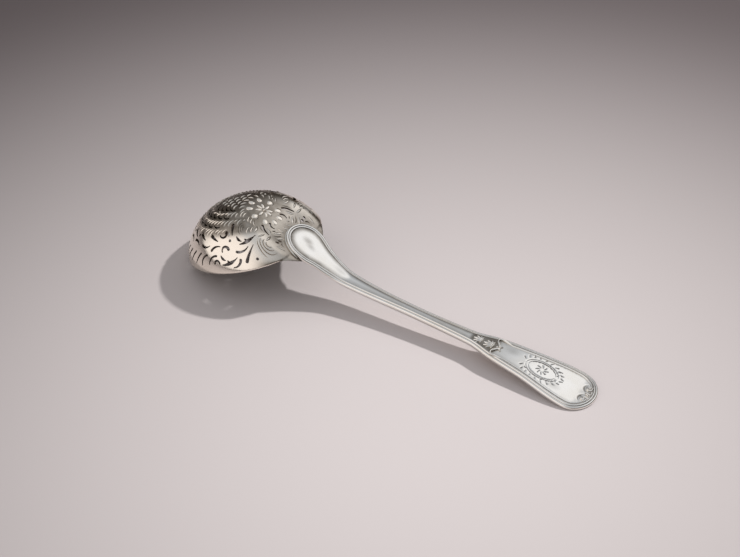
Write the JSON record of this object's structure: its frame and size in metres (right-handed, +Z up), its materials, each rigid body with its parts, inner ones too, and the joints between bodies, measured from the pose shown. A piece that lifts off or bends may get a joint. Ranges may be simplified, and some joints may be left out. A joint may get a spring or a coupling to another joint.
{
  "type": "sugar sifter spoon",
  "caption": "Silver sugar sifter spoon lying bowl down: an oval bowl saw-pierced with foliage, and a threaded fiddle handle soldered over its heel.",
  "frame": {"origin": "on the table, under the middle of the spoon's length and width", "axes": "+X from the bowl's tip to the handle's end, +Z up from the table, with the bowl turned down"},
  "size_m": [0.205, 0.0582, 0.0337],
  "materials": {
    "raised_silver": "polished, darkened in the engraving",
    "struck_silver": "polished, worn bright on the threads",
    "hard_solder": "satin, slightly dull"
  },
  "bodies": {
    "root": {"pierced_bowl": "raised_silver", "handle": "struck_silver", "heel_solder_seam": "hard_solder"}
  },
  "joints": []
}
